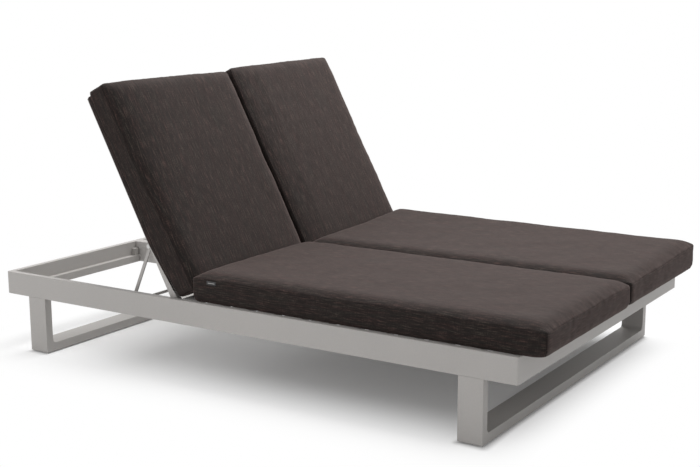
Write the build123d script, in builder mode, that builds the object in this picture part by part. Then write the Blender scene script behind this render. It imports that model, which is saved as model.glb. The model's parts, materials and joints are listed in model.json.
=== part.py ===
from build123d import *
import math
import os

# Double chaise lounger for patio and porch, in millimetres.
# X runs across the lounger, Y from its foot end to its head end and Z up from the floor.
# Right and left are those of a person who sits in it, so right is at negative X.

os.makedirs("parts", exist_ok=True)

# Main frame, welded from flat tube with mitred corners
frame_length = 2000
frame_width = 1340
rail_top = 280
rail_height = 80
rail_thickness = 20
beam_width = 40
tube_wall = 2
frame_corner_radius = 5
tube_edge_radius = 1.5

# Clearances, and the overrun of every cut
rest_gap = 0.3
fit_gap = 0.05
overrun = 1

# Legs: one U of wide tube under each end
leg_width = 80
leg_thickness = 30
leg_setback = 104
leg_wall = 3
leg_inner_radius = 15
leg_outer_radius = 4
glide_thickness = 4
glide_length = 60
glide_width = 30
glide_inset = 12

# Tabs that stand on the leg posts and are bolted to the rails
tab_thickness = 5
tab_clearance = 3
tab_bolt_spacing = 36
tab_bolt_margin = 12

# Fasteners
nut_flange_radius = 8
nut_flange_thickness = 0.8
nut_radius = 5.5
nut_end_gap = 4
bolt_radius = 4
bolt_head_radius = 7
bolt_head_height = 4
screw_radius = 2.5
screw_head_radius = 4.5
screw_head_height = 2.5

# Seat deck: slats screwed to angles from below
slat_count = 12
slat_width = 65
slat_height = 15
slat_wall = 1.5
slat_edge_radius = 2
slat_side_gap = 1.5
slat_end_gap = 4
angle_leg = 25
angle_depth = 30
angle_thickness = 3
screw_reach = 6

# Backrest: hinge place, welded frame and slats
hinge_from_head = 761
hinge_drop = 12.5
back_angle = 62
back_tail = 30
back_head_gap = 8
back_side_gap = 6
back_tube_depth = 25
back_tube_thickness = 20
back_slat_count = 7
back_slat_width = 70
back_slat_height = 10
deck_swing_gap = 2.5

# Hinge: shoulder bolt in a flanged bush
hinge_bolt_radius = 5
hinge_head_radius = 9
hinge_head_height = 5
bush_wall = 2
bush_flange_radius = 12

# Prop: two arms and a foot rod that stands on the racks
lug_reach = 202
lug_drop = 15
lug_thickness = 5
lug_half_width = 15
lug_radius = 10
pin_radius = 4
pin_head_radius = 7
pin_head_height = 2.5
washer_radius = 9
washer_thickness = 2
arm_width = 11
arm_thickness = 5
arm_eye_radius = 9
rod_radius = 5
rod_stand = 208
rod_rest_drop = 23
rod_fold_drop = 31
rod_end_gap = 3

# Racks: notched strips that the foot rod stands on
rack_thickness = 12
rack_clearance = 0.45
rack_stop_length = 14
rack_stop_drop = 3
rack_end_length = 10
rack_base = 7
notch_depth = 3
notch_angle_shares = (0.81, 0.66, 0.52, 0.38)
rack_line_shares = (0.9, 0.8, 0.65, 0.5, 0.35, 0.22)
rack_screw_shares = (0.1, 0.5, 0.9)

# Ledge inside the head rail, with the pads that a folded backrest lies on
ledge_depth = 20
pad_height = 27
pad_inset = 1

# Cushions
cushion_overhang = 62
cushion_side_inset = 12
cushion_gap = 6
cushion_meet_gap = 9
seat_cushion_height = 75
back_cushion_height = 87
back_cushion_start = 8
back_cushion_end = 750
cushion_corner_radius = 30
cushion_draw_in = 5
cushion_edge_rise = 10
cushion_edge_inset = 12
cushion_panel_bow = 2
cushion_crown = 22
crown_rise_shares = (0.55, 0.85, 1)
crown_inset_shares = (0.09, 0.25, 0.6)

# Places along Y: the origin is midway between the cushions' foot end and the frame's head end
frame_mid = cushion_overhang / 2
head_y = frame_mid + frame_length / 2
foot_y = frame_mid - frame_length / 2
head_inner_y = head_y - rail_thickness
foot_inner_y = foot_y + rail_thickness
head_leg_y = head_y - leg_setback - leg_width / 2
foot_leg_y = foot_y + leg_setback + leg_width / 2
hinge_y = head_y - hinge_from_head

# Heights and places across
rail_bottom = rail_top - rail_height
hinge_z = rail_top - hinge_drop
half_width = frame_width / 2
rail_inner_x = half_width - rail_thickness
beam_face_x = beam_width / 2
bay_width = rail_inner_x - beam_face_x
bay_x = (rail_inner_x + beam_face_x) / 2
bays = {"right": -bay_x, "left": bay_x}
ends = {"outer": 1, "inner": -1}

# Backrest in its own plane: across, along from the hinge, and out towards the sitter
back_half_width = bay_width / 2 - back_side_gap
back_inner_x = back_half_width - back_tube_thickness
back_top = head_inner_y - back_head_gap - hinge_y
back_face = hinge_drop
tube_bottom = back_face - back_tube_depth
back_mid = (back_top - back_tail) / 2
folded_bottom = hinge_z + tube_bottom


def keep(builder, label):
    """Names a finished piece and writes its file."""
    builder.part.label = label
    export_step(builder.part, f"parts/{label}.step")


def outward(side, end):
    """Direction along X from the middle of a bay to one of its ends."""
    towards_rail = -1 if side == "right" else 1
    return towards_rail * ends[end]


def wall_plane(side, end, y, z):
    """Plane on the wall of a bay, its normal pointing into the bay."""
    away = outward(side, end)
    wall_x = bays[side] + away * bay_width / 2
    return Plane(origin=(wall_x, y, z), x_dir=(0, 1, 0), z_dir=(-away, 0, 0))


def back_plane(side, height):
    """Plane of a raised backrest: X across, Y along it, at a height above the hinge axis."""
    tilt = math.radians(back_angle)
    level = Plane(
        origin=(bays[side], hinge_y, hinge_z),
        x_dir=(1, 0, 0),
        z_dir=(0, -math.sin(tilt), math.cos(tilt)),
    )
    return level.offset(height)


def back_side_plane(side, place):
    """Plane across a raised backrest's tubes: X along the backrest, Y out of it."""
    tilt = math.radians(back_angle)
    return Plane(
        origin=(bays[side] + place, hinge_y, hinge_z),
        x_dir=(0, math.cos(tilt), math.sin(tilt)),
        z_dir=(1, 0, 0),
    )


def mitre(sheet, corner, towards):
    """Cutting plane through a ring's corner, facing the piece that stays."""
    start = sheet.from_local_coords(Vector(*corner, 0))
    facing = sheet.from_local_coords(Vector(*corner, 0) + Vector(*towards, 0)) - start
    return Plane(origin=start, z_dir=facing)


# The four rails are cut from one hollow ring
with BuildPart() as frame_ring:
    with BuildSketch(Plane.XY.offset(rail_bottom)):
        with Locations((0, frame_mid)):
            RectangleRounded(frame_width, frame_length, frame_corner_radius)
            Rectangle(
                frame_width - 2 * rail_thickness,
                frame_length - 2 * rail_thickness,
                mode=Mode.SUBTRACT,
            )
    extrude(amount=rail_height)
    fillet(frame_ring.edges().group_by(Axis.Z)[-1], radius=tube_edge_radius)
    fillet(frame_ring.edges().group_by(Axis.Z)[0], radius=tube_edge_radius)
    with BuildSketch(Plane.XY.offset(rail_bottom + tube_wall)):
        with Locations((0, frame_mid)):
            Rectangle(frame_width - 2 * tube_wall, frame_length - 2 * tube_wall)
            Rectangle(
                frame_width - 2 * (rail_thickness - tube_wall),
                frame_length - 2 * (rail_thickness - tube_wall),
                mode=Mode.SUBTRACT,
            )
    extrude(amount=rail_height - 2 * tube_wall, mode=Mode.SUBTRACT)

# Places of the fasteners on the walls of the bays
nut_length = rail_thickness - tube_wall - nut_end_gap
tab_height = rail_height - slat_height - angle_depth - tab_clearance
tab_bolt_z = rail_bottom + tab_height / 2
tab_width = tab_bolt_spacing + 2 * tab_bolt_margin
hinge_walls = [wall_plane(side, end, hinge_y, hinge_z) for side in bays for end in ends]
leg_bolt_ys = [
    leg_y + shift * tab_bolt_spacing / 2
    for leg_y in (head_leg_y, foot_leg_y)
    for shift in (-1, 1)
]
tab_walls = [wall_plane(side, "outer", y, tab_bolt_z) for side in bays for y in leg_bolt_ys]

# Travel of the prop's foot rod, for the racks and for the raised prop
lug_height = tube_bottom - lug_drop
lug_radius_from_hinge = math.hypot(lug_reach, lug_height)
lug_lag = math.degrees(math.atan2(-lug_height, lug_reach))
rod_rest_height = folded_bottom - rod_rest_drop
rod_fold_height = folded_bottom - rod_fold_drop


def lug_point(angle):
    """Y and Z of the prop's upper pins with the backrest at an angle."""
    turned = math.radians(angle - lug_lag)
    return (
        hinge_y + lug_radius_from_hinge * math.cos(turned),
        hinge_z + lug_radius_from_hinge * math.sin(turned),
    )


arm_run = hinge_y + rod_stand - lug_point(back_angle)[0]
arm_fall = lug_point(back_angle)[1] - rod_rest_height
arm_length = math.hypot(arm_run, arm_fall)
arm_angle_up = math.degrees(math.atan2(arm_fall, arm_run))
arm_angle_flat = math.degrees(math.asin((lug_point(0)[1] - rod_fold_height) / arm_length))
arm_turn_ratio = (arm_angle_up - arm_angle_flat) / back_angle


def rod_point(angle):
    """Y and Z of the foot rod with the backrest at an angle."""
    dip = math.radians(arm_angle_flat + arm_turn_ratio * angle)
    pin_y, pin_z = lug_point(angle)
    return (pin_y + arm_length * math.cos(dip), pin_z - arm_length * math.sin(dip))


# Racks: the top follows the rod's travel, a stop and a saddle hold it raised, notches lie behind
rod_up = rod_point(back_angle)
rack_drop = rod_radius + rack_clearance
rack_start_y = rod_up[0] - rack_drop - rack_stop_length
rack_line = [rod_point(back_angle * share) for share in (1, *rack_line_shares)]
rack_top_points = [(y, z - rack_drop) for y, z in rack_line]
rack_end_y = rack_line[-1][0] + rack_drop + rack_end_length
rack_screw_z = rail_bottom + rack_base
rack_stop_z = rod_rest_height - rack_stop_drop
rack_screw_ys = [
    rack_start_y + share * (rack_end_y - rack_start_y) for share in rack_screw_shares
]


def make_rack(side, end):
    """Notched strip on the wall of a bay."""
    face = bays[side] + outward(side, end) * bay_width / 2
    start_x = min(face, face - outward(side, end) * rack_thickness)
    with BuildPart() as rack:
        with BuildSketch(Plane.YZ.offset(start_x)):
            with BuildLine():
                top = Spline(*rack_top_points)
                Polyline(
                    top @ 1,
                    (rack_end_y, (top @ 1).Y),
                    (rack_end_y, rail_bottom),
                    (rack_start_y, rail_bottom),
                    (rack_start_y, rack_stop_z),
                    (rod_up[0], rack_stop_z),
                    top @ 0,
                )
            make_face()
            with Locations(rod_up):
                Circle(rack_drop, mode=Mode.SUBTRACT)
            notches = [rod_point(back_angle * share) for share in notch_angle_shares]
            with Locations([(y, z - notch_depth) for y, z in notches]):
                Circle(rack_drop, mode=Mode.SUBTRACT)
        extrude(amount=rack_thickness)
        with BuildSketch(Plane.YZ.offset(start_x)):
            with Locations([(y, rack_screw_z) for y in rack_screw_ys]):
                Circle(screw_radius + fit_gap)
        extrude(amount=rack_thickness, mode=Mode.SUBTRACT)
    return rack


for side in bays:
    for end in ends:
        keep(make_rack(side, end), f"{side}_{end}_rack")

rack_walls = [
    wall_plane(side, end, y, rack_screw_z) for side in bays for end in ends for y in rack_screw_ys
]

# Side rails, drilled on their inner walls
for side in bays:
    away = outward(side, "outer")
    with BuildPart() as rail:
        add(frame_ring.part)
        split(bisect_by=mitre(Plane.XY, (away * half_width, head_y), (away, -1)))
        split(bisect_by=mitre(Plane.XY, (away * half_width, foot_y), (away, 1)))
        for wall in hinge_walls + tab_walls:
            with BuildSketch(wall.offset(overrun)):
                Circle(nut_radius + fit_gap)
            extrude(amount=-tube_wall - 2 * overrun, mode=Mode.SUBTRACT)
        for wall in rack_walls:
            with BuildSketch(wall.offset(overrun)):
                Circle(screw_radius + fit_gap)
            extrude(amount=-tube_wall - 2 * overrun, mode=Mode.SUBTRACT)
    keep(rail, f"{side}_rail")

# Head and foot rails
for name, rail_y, along in (("head", head_y, 1), ("foot", foot_y, -1)):
    with BuildPart() as rail:
        add(frame_ring.part)
        split(bisect_by=mitre(Plane.XY, (-half_width, rail_y), (1, along)))
        split(bisect_by=mitre(Plane.XY, (half_width, rail_y), (-1, along)))
    keep(rail, f"{name}_rail")

# Centre beam between the head and foot rails
with BuildPart() as centre_beam:
    with BuildSketch(Plane.XZ.offset(-head_inner_y)):
        with Locations((0, rail_bottom + rail_height / 2)):
            RectangleRounded(beam_width, rail_height, tube_edge_radius)
            Rectangle(beam_width - 2 * tube_wall, rail_height - 2 * tube_wall, mode=Mode.SUBTRACT)
    extrude(amount=head_inner_y - foot_inner_y)
    for wall in hinge_walls:
        with BuildSketch(wall.offset(overrun)):
            Circle(nut_radius + fit_gap)
        extrude(amount=-tube_wall - 2 * overrun, mode=Mode.SUBTRACT)
    for wall in rack_walls:
        with BuildSketch(wall.offset(overrun)):
            Circle(screw_radius + fit_gap)
        extrude(amount=-tube_wall - 2 * overrun, mode=Mode.SUBTRACT)
keep(centre_beam, "centre_beam")


def leg_outline(inset, height):
    """Adds the U of a leg, drawn in by an inset, to the sketch."""
    base = glide_thickness + inset
    floor = glide_thickness + leg_thickness - inset
    with Locations((0, base)):
        Rectangle(frame_width - 2 * inset, height - base, align=(Align.CENTER, Align.MIN))
    with Locations((0, floor)):
        Rectangle(
            frame_width - 2 * (leg_thickness - inset),
            height - floor,
            align=(Align.CENTER, Align.MIN),
            mode=Mode.SUBTRACT,
        )


# Legs: a hollow U, cut at its mitres into two posts and a runner
for name, leg_y in (("head", head_leg_y), ("foot", foot_leg_y)):
    leg_sheet = Plane.XZ.offset(-leg_y - leg_width / 2)
    with BuildPart() as leg_loop:
        with BuildSketch(leg_sheet) as leg_profile:
            leg_outline(0, rail_bottom)
            fillet(leg_profile.vertices().group_by(Axis.Y)[1], radius=leg_inner_radius)
            fillet(leg_profile.vertices().group_by(Axis.Y)[0], radius=leg_outer_radius)
        extrude(amount=leg_width)
        sides = leg_loop.faces().sort_by(Axis.Y)
        rims = sides[0].edges() + sides[-1].edges()
        fillet(
            rims.filter_by_position(Axis.Z, 0, rail_bottom - tube_edge_radius),
            radius=tube_edge_radius,
        )
        with BuildSketch(leg_sheet.offset(leg_wall)):
            leg_outline(leg_wall, rail_bottom)
        extrude(amount=leg_width - 2 * leg_wall, mode=Mode.SUBTRACT)
    for side in bays:
        away = outward(side, "outer")
        with BuildPart() as post:
            add(leg_loop.part)
            split(bisect_by=mitre(leg_sheet, (away * half_width, glide_thickness), (away, 1)))
        keep(post, f"{name}_leg_{side}_post")
    with BuildPart() as runner:
        add(leg_loop.part)
        split(bisect_by=mitre(leg_sheet, (-half_width, glide_thickness), (1, -1)))
        split(bisect_by=mitre(leg_sheet, (half_width, glide_thickness), (-1, -1)))
    keep(runner, f"{name}_leg_runner")

# Glides under both runners
glide_x = half_width - glide_inset - glide_length / 2
with BuildPart() as glides:
    with BuildSketch(Plane.XY):
        with Locations([(x, y) for x in (-glide_x, glide_x) for y in (foot_leg_y, head_leg_y)]):
            RectangleRounded(glide_length, glide_width, glide_inset)
    extrude(amount=glide_thickness)
keep(glides, "glides")

# Tabs on the leg posts: they stand clear of the rail by the rivet nuts' flanges
with BuildPart() as leg_tabs:
    for side in bays:
        away = outward(side, "outer")
        tab_x = away * (rail_inner_x - nut_flange_thickness - tab_thickness / 2)
        with BuildSketch(Plane.XY.offset(rail_bottom)):
            with Locations((tab_x, head_leg_y), (tab_x, foot_leg_y)):
                Rectangle(tab_thickness, tab_width)
        extrude(amount=tab_height)
    for wall in tab_walls:
        with BuildSketch(wall):
            Circle(bolt_radius + fit_gap)
        extrude(amount=nut_flange_thickness + tab_thickness + overrun, mode=Mode.SUBTRACT)
keep(leg_tabs, "leg_tabs")

# Rivet nuts in the bays' walls, for the hinge bolts and the leg bolts
with BuildPart() as rivet_nuts:
    for wall in hinge_walls + tab_walls:
        with BuildSketch(wall):
            Circle(nut_flange_radius)
        extrude(amount=nut_flange_thickness)
        with BuildSketch(wall):
            Circle(nut_radius)
        extrude(amount=-nut_length)
        with BuildSketch(wall.offset(nut_flange_thickness)):
            Circle(bolt_radius + fit_gap)
        extrude(amount=-nut_flange_thickness - nut_length, mode=Mode.SUBTRACT)
keep(rivet_nuts, "rivet_nuts")

# Leg bolts through the tabs
tab_face = nut_flange_thickness + tab_thickness
with BuildPart() as leg_bolts:
    for wall in tab_walls:
        with BuildSketch(wall.offset(tab_face)):
            Circle(bolt_radius)
        extrude(amount=-tab_face - nut_length)
        with BuildSketch(wall.offset(tab_face)) as bolt_head:
            Circle(bolt_head_radius)
        extrude(amount=bolt_head_height)
    heads = leg_bolts.edges().filter_by(GeomType.CIRCLE).filter_by(
        lambda edge: abs(edge.radius - bolt_head_radius) < fit_gap
    )
    inner_rims = heads.filter_by(
        lambda edge: abs(edge.center().X) < rail_inner_x - tab_face - bolt_head_height / 2
    )
    fillet(inner_rims, radius=bolt_head_height / 2)
keep(leg_bolts, "leg_bolts")

# Screws of the racks
with BuildPart() as rack_screws:
    for wall in rack_walls:
        with BuildSketch(wall.offset(rack_thickness)):
            Circle(screw_radius)
        extrude(amount=-rack_thickness - screw_reach)
        with BuildSketch(wall.offset(rack_thickness)):
            Circle(screw_head_radius)
        extrude(amount=screw_head_height)
keep(rack_screws, "rack_screws")

# Ledges inside the head rail, welded to it, and the pads under the folded side tubes
ledge_top = folded_bottom - rest_gap - pad_height
for side in bays:
    with BuildPart() as ledge:
        with BuildSketch(Plane.XY.offset(rail_bottom)):
            with Locations((bays[side], head_inner_y - ledge_depth / 2)):
                Rectangle(bay_width, ledge_depth)
        extrude(amount=ledge_top - rail_bottom)
        rims = ledge.edges().filter_by(Axis.X).sort_by(Axis.Y)[:2]
        fillet(rims, radius=tube_edge_radius)
        with BuildSketch(Plane.XY.offset(rail_bottom + tube_wall)):
            with Locations((bays[side], head_inner_y - ledge_depth / 2)):
                Rectangle(bay_width - 2 * tube_wall, ledge_depth - 2 * tube_wall)
        extrude(amount=ledge_top - rail_bottom - 2 * tube_wall, mode=Mode.SUBTRACT)
    keep(ledge, f"{side}_head_ledge")

pad_back_y = head_inner_y - pad_inset
pad_front_y = head_inner_y - ledge_depth + tube_edge_radius
pad_places = [
    (bays[side] + ends[end] * (back_half_width - back_tube_thickness / 2), pad_front_y)
    for side in bays
    for end in ends
]
with BuildPart() as ledge_pads:
    with BuildSketch(Plane.XY.offset(ledge_top)):
        with Locations(pad_places):
            Rectangle(
                back_tube_thickness,
                pad_back_y - pad_front_y,
                align=(Align.CENTER, Align.MIN),
            )
    extrude(amount=pad_height)
keep(ledge_pads, "ledge_pads")

# Seat deck: angles welded to the bays' walls, hollow slats on them, screws from below
deck_swing = math.hypot(back_tail, max(-tube_bottom, back_face)) + deck_swing_gap
deck_end_y = hinge_y - deck_swing
deck_start_y = foot_inner_y + slat_end_gap
slat_bottom = rail_top - slat_height
slat_length = bay_width - 2 * slat_side_gap
slat_pitch = (deck_end_y - deck_start_y - slat_width) / (slat_count - 1)
slat_ys = [deck_start_y + slat_width / 2 + slat_pitch * number for number in range(slat_count)]
screw_shift = bay_width / 2 - angle_leg / 2

for side in bays:
    for end in ends:
        wall = wall_plane(side, end, 0, 0)
        away = outward(side, end)
        wall_x = bays[side] + away * bay_width / 2
        with BuildPart() as angle:
            with BuildSketch(Plane.XZ.offset(-foot_inner_y)):
                with BuildLine():
                    Polyline(
                        (wall_x, slat_bottom),
                        (wall_x, slat_bottom - angle_depth),
                        (wall_x - away * angle_thickness, slat_bottom - angle_depth),
                        (wall_x - away * angle_thickness, slat_bottom - angle_thickness),
                        (wall_x - away * angle_leg, slat_bottom - angle_thickness),
                        (wall_x - away * angle_leg, slat_bottom),
                        close=True,
                    )
                make_face()
            extrude(amount=foot_inner_y - deck_end_y)
            screw_x = bays[side] + away * screw_shift
            with BuildSketch(Plane.XY.offset(slat_bottom)):
                with Locations([(screw_x, y) for y in slat_ys]):
                    Circle(screw_radius + fit_gap)
            extrude(amount=-angle_thickness, mode=Mode.SUBTRACT)
        keep(angle, f"{side}_{end}_seat_angle")

for side in bays:
    with BuildPart() as seat_slats:
        with BuildSketch(Plane.XY.offset(slat_bottom)):
            with Locations([(bays[side], y) for y in slat_ys]):
                Rectangle(slat_length, slat_width)
        extrude(amount=slat_height)
        fillet(seat_slats.edges().filter_by(Axis.X), radius=slat_edge_radius)
        with BuildSketch(Plane.XY.offset(slat_bottom + slat_wall)):
            with Locations([(bays[side], y) for y in slat_ys]):
                Rectangle(slat_length - 2 * slat_wall, slat_width - 2 * slat_wall)
        extrude(amount=slat_height - 2 * slat_wall, mode=Mode.SUBTRACT)
        with BuildSketch(Plane.XY.offset(slat_bottom)):
            with Locations(
                [(bays[side] + ends[end] * screw_shift, y) for end in ends for y in slat_ys]
            ):
                Circle(screw_radius + fit_gap)
        extrude(amount=slat_wall, mode=Mode.SUBTRACT)
    keep(seat_slats, f"{side}_seat_slats")

slat_screw_places = [
    (bays[side] + ends[end] * screw_shift, y) for side in bays for end in ends for y in slat_ys
]
with BuildPart() as slat_screws:
    with BuildSketch(Plane.XY.offset(slat_bottom - angle_thickness)):
        with Locations(slat_screw_places):
            Circle(screw_head_radius)
    extrude(amount=-screw_head_height)
    with BuildSketch(Plane.XY.offset(slat_bottom - angle_thickness)):
        with Locations(slat_screw_places):
            Circle(screw_radius)
    extrude(amount=angle_thickness + screw_reach)
keep(slat_screws, "slat_screws")

# Hinge bolts: threaded into the rivet nuts, their shoulders carry the bushes
shoulder_end = back_side_gap + back_tube_thickness + rest_gap
with BuildPart() as hinge_bolts:
    for wall in hinge_walls:
        with BuildSketch(wall.offset(nut_flange_thickness)):
            Circle(bolt_radius)
        extrude(amount=-nut_flange_thickness - nut_length)
        with BuildSketch(wall.offset(nut_flange_thickness)):
            Circle(hinge_bolt_radius)
        extrude(amount=shoulder_end - nut_flange_thickness)
        with BuildSketch(wall.offset(shoulder_end)):
            Circle(hinge_head_radius)
        extrude(amount=hinge_head_height)
keep(hinge_bolts, "hinge_bolts")

# Flanged bushes, pressed into the backrests' side tubes
bush_radius = hinge_bolt_radius + fit_gap + bush_wall
for side in bays:
    with BuildPart() as bushes:
        for end in ends:
            wall = wall_plane(side, end, hinge_y, hinge_z)
            with BuildSketch(wall.offset(nut_flange_thickness + rest_gap)):
                Circle(bush_flange_radius)
            extrude(amount=back_side_gap - nut_flange_thickness - rest_gap)
            with BuildSketch(wall.offset(back_side_gap)):
                Circle(bush_radius)
            extrude(amount=back_tube_thickness)
            with BuildSketch(wall):
                Circle(hinge_bolt_radius + fit_gap)
            extrude(amount=back_side_gap + back_tube_thickness, mode=Mode.SUBTRACT)
    keep(bushes, f"{side}_hinge_bushes")

# Backrest frames: a hollow ring, cut at its mitres into four tubes
for side in bays:
    sheet = back_plane(side, tube_bottom)
    with BuildPart() as back_ring:
        with BuildSketch(sheet):
            with Locations((0, back_mid)):
                Rectangle(2 * back_half_width, back_top + back_tail)
                Rectangle(
                    2 * back_inner_x,
                    back_top + back_tail - 2 * back_tube_thickness,
                    mode=Mode.SUBTRACT,
                )
        extrude(amount=back_tube_depth)
        rims = back_ring.edges().filter_by(Axis.X) + back_ring.edges().filter_by(
            Axis(hinge_walls[0].origin, back_side_plane(side, 0).x_dir)
        )
        fillet(rims, radius=tube_edge_radius)
        with BuildSketch(sheet.offset(tube_wall)):
            with Locations((0, back_mid)):
                Rectangle(
                    2 * (back_half_width - tube_wall),
                    back_top + back_tail - 2 * tube_wall,
                )
                Rectangle(
                    2 * (back_inner_x + tube_wall),
                    back_top + back_tail - 2 * (back_tube_thickness - tube_wall),
                    mode=Mode.SUBTRACT,
                )
        extrude(amount=back_tube_depth - 2 * tube_wall, mode=Mode.SUBTRACT)
    for end in ends:
        away = outward(side, end)
        with BuildPart() as side_tube:
            add(back_ring.part)
            split(bisect_by=mitre(sheet, (away * back_half_width, back_top), (away, -1)))
            split(bisect_by=mitre(sheet, (away * back_half_width, -back_tail), (away, 1)))
            with BuildSketch(wall_plane(side, end, hinge_y, hinge_z).offset(back_side_gap - overrun)):
                Circle(bush_radius + fit_gap)
            extrude(amount=back_tube_thickness + 2 * overrun, mode=Mode.SUBTRACT)
        keep(side_tube, f"{side}_back_{end}_tube")
    for name, place, along in (("top", back_top, 1), ("bottom", -back_tail, -1)):
        with BuildPart() as cross_tube:
            add(back_ring.part)
            split(bisect_by=mitre(sheet, (-back_half_width, place), (1, along)))
            split(bisect_by=mitre(sheet, (back_half_width, place), (-1, along)))
        keep(cross_tube, f"{side}_back_{name}_tube")

# Backrest slats: hollow, welded between the side tubes and flush with them
slats_start = back_tube_thickness - back_tail
slats_end = back_top - back_tube_thickness
back_slat_gap = (slats_end - slats_start - back_slat_count * back_slat_width) / (back_slat_count + 1)
back_slat_places = [
    slats_start + back_slat_gap + back_slat_width / 2 + (back_slat_width + back_slat_gap) * number
    for number in range(back_slat_count)
]
for side in bays:
    with BuildPart() as back_slats:
        with BuildSketch(back_plane(side, back_face - back_slat_height)):
            with Locations([(0, place) for place in back_slat_places]):
                Rectangle(2 * back_inner_x, back_slat_width)
        extrude(amount=back_slat_height)
        fillet(back_slats.edges().filter_by(Axis.X), radius=slat_edge_radius)
        with BuildSketch(back_plane(side, back_face - back_slat_height + slat_wall)):
            with Locations([(0, place) for place in back_slat_places]):
                Rectangle(2 * (back_inner_x - slat_wall), back_slat_width - 2 * slat_wall)
        extrude(amount=back_slat_height - 2 * slat_wall, mode=Mode.SUBTRACT)
    keep(back_slats, f"{side}_back_slats")

# Lugs under the side tubes, flush with their inner faces
arm_start = back_inner_x - washer_thickness
for side in bays:
    with BuildPart() as lugs:
        for end in ends:
            start = back_inner_x if ends[end] > 0 else -back_inner_x - lug_thickness
            with BuildSketch(back_side_plane(side, start)):
                with Locations((lug_reach, tube_bottom)):
                    Rectangle(2 * lug_half_width, lug_drop, align=(Align.CENTER, Align.MAX))
                with Locations((lug_reach, lug_height)):
                    Circle(lug_radius)
                    Circle(pin_radius + fit_gap, mode=Mode.SUBTRACT)
            extrude(amount=lug_thickness)
    keep(lugs, f"{side}_prop_lugs")

# Prop pins: a shank with a head at each end, and a washer between lug and arm
pin_start = arm_start - arm_thickness - rest_gap
pin_length = back_inner_x + lug_thickness - pin_start
for side in bays:
    with BuildPart() as pins:
        for end in ends:
            away = ends[end]
            head = back_side_plane(side, away * pin_start)
            with BuildSketch(head):
                with Locations((lug_reach, lug_height)):
                    Circle(pin_radius)
            extrude(amount=away * pin_length)
            with BuildSketch(head, head.offset(away * (pin_length + pin_head_height))):
                with Locations((lug_reach, lug_height)):
                    Circle(pin_head_radius)
            extrude(amount=-away * pin_head_height)
    keep(pins, f"{side}_prop_pins")
    with BuildPart() as washers:
        for end in ends:
            away = ends[end]
            with BuildSketch(back_side_plane(side, away * (back_inner_x - rest_gap))):
                with Locations((lug_reach, lug_height)):
                    Circle(washer_radius)
                    Circle(pin_radius + fit_gap, mode=Mode.SUBTRACT)
            extrude(amount=away * (2 * rest_gap - washer_thickness))
    keep(washers, f"{side}_prop_washers")


def arm_plane(side, place):
    """Plane across a raised prop: X along the arm from its pin, Y towards the sitter."""
    dip = math.radians(arm_angle_up)
    pin_y, pin_z = lug_point(back_angle)
    return Plane(
        origin=(bays[side] + place, pin_y, pin_z),
        x_dir=(0, math.cos(dip), -math.sin(dip)),
        z_dir=(1, 0, 0),
    )


# Props: flat arms with an eye at each end, welded to the foot rod
rod_half_length = bay_width / 2 - rod_end_gap
for side in bays:
    for end in ends:
        away = ends[end]
        with BuildPart() as arm:
            with BuildSketch(arm_plane(side, outward(side, end) * arm_start)):
                with Locations((arm_length / 2, 0)):
                    Rectangle(arm_length, arm_width)
                with Locations((0, 0), (arm_length, 0)):
                    Circle(arm_eye_radius)
                with Locations((0, 0)):
                    Circle(pin_radius + fit_gap, mode=Mode.SUBTRACT)
                with Locations((arm_length, 0)):
                    Circle(rod_radius + fit_gap, mode=Mode.SUBTRACT)
            extrude(amount=-outward(side, end) * arm_thickness)
        keep(arm, f"{side}_prop_{end}_arm")
    with BuildPart() as rod:
        with BuildSketch(arm_plane(side, -rod_half_length)):
            with Locations((arm_length, 0)):
                Circle(rod_radius)
        extrude(amount=2 * rod_half_length)
    keep(rod, f"{side}_prop_rod")


# Cushions: box cushions with soft edges, bowed panels and a crown
cushion_width = half_width - cushion_side_inset - cushion_gap / 2
cushion_x = (cushion_width + cushion_gap) / 2
cushion_shift = bay_x - cushion_x


def make_cushion(sheet, along_start, along_end, height):
    """Box cushion on a plane, its sides drawn in between the corners and its front crowned."""
    middle = (along_end + along_start) / 2
    levels = [
        (0, cushion_edge_inset),
        (cushion_edge_rise, cushion_panel_bow),
        (height / 2, 0),
        (height - cushion_edge_rise, cushion_panel_bow),
        (height, cushion_edge_inset),
    ]
    for rise_share, inset_share in zip(crown_rise_shares, crown_inset_shares):
        levels.append((height + cushion_crown * rise_share, cushion_width / 2 * inset_share))
    with BuildPart() as cushion:
        for rise, inset in levels:
            across = cushion_width / 2 - inset
            along = (along_end - along_start) / 2 - inset
            corner = min(cushion_corner_radius, across, along)
            bend = corner * (1 - math.sqrt(1 / 2))
            with BuildSketch(sheet.offset(rise)):
                with BuildLine():
                    for turn_x, turn_y in ((1, 1), (-1, 1), (-1, -1), (1, -1)):
                        ThreePointArc(
                            (turn_x * across, middle + turn_y * (along - corner)),
                            (turn_x * (across - bend), middle + turn_y * (along - bend)),
                            (turn_x * (across - corner), middle + turn_y * along),
                        )
                    for turn in (1, -1):
                        ThreePointArc(
                            (turn * across, middle + along - corner),
                            (turn * (across - cushion_draw_in), middle),
                            (turn * across, middle - along + corner),
                        )
                        ThreePointArc(
                            (across - corner, middle + turn * along),
                            (0, middle + turn * (along - cushion_draw_in)),
                            (corner - across, middle + turn * along),
                        )
                make_face()
        loft(ruled=True)
    return cushion


# The back cushion's lower front edge comes up to the seat cushion's rear edge when raised
tilt = math.radians(back_angle)
cushion_base = back_face + rest_gap
edge_along = back_cushion_start + cushion_edge_inset
edge_height = cushion_base + back_cushion_height
edge_reach = edge_height * math.sin(tilt) - edge_along * math.cos(tilt)
seat_rear_y = hinge_y - edge_reach - cushion_meet_gap
seat_front_y = foot_y - cushion_overhang

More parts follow.
